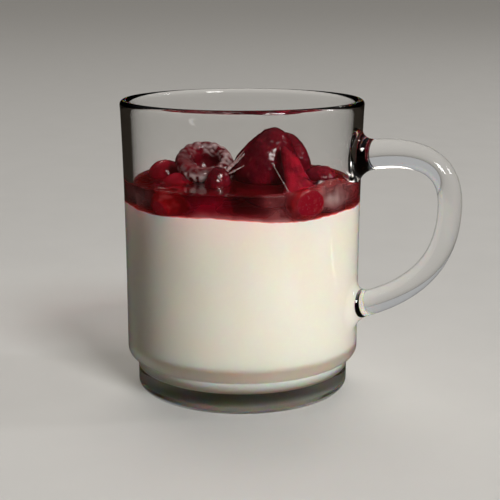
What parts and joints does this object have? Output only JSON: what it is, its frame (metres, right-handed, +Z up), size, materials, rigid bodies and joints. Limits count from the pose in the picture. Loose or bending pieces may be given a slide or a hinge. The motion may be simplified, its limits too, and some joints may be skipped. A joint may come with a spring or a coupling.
{
  "type": "berry panna cotta cup",
  "caption": "Clear stackable glass mug of panna cotta under a layer of berry syrup with thawed whole berries on top.",
  "frame": {"origin": "on the surface the mug stands on, under the middle of its plan box, handle included", "axes": "+Z up along the mug, +X from the body towards the handle, XZ the handle's own plane"},
  "size_m": [0.1051, 0.0746, 0.0904],
  "materials": {
    "clear_glass": "polished clear tempered glass",
    "set_cream": "smooth set cream, satin",
    "syrup": "clear red berry syrup, wet gloss",
    "scarlet_fruit": "wet bright red berry skin",
    "crimson_fruit": "wet dark red berry skin",
    "dark_fruit": "wet dark bramble beads"
  },
  "bodies": {
    "root": {"glass_mug": "clear_glass", "panna_cotta": "set_cream", "berry_syrup": "syrup", "strawberry_tall": "crimson_fruit", "strawberry_behind": "crimson_fruit", "strawberry_leaning": "scarlet_fruit", "raspberry_open": "crimson_fruit", "currant_oval": "scarlet_fruit", "bramble_by_handle": "dark_fruit", "cherry_by_handle": "crimson_fruit", "cranberry_left": "scarlet_fruit", "cranberry_low": "scarlet_fruit", "cranberry_at_glass": "scarlet_fruit", "currant_back_right": "scarlet_fruit", "currant_middle": "crimson_fruit", "cherry_back_left": "crimson_fruit", "bramble_back": "dark_fruit", "currant_back_left": "scarlet_fruit", "currant_back": "scarlet_fruit", "currant_far_left": "scarlet_fruit"}
  },
  "joints": []
}
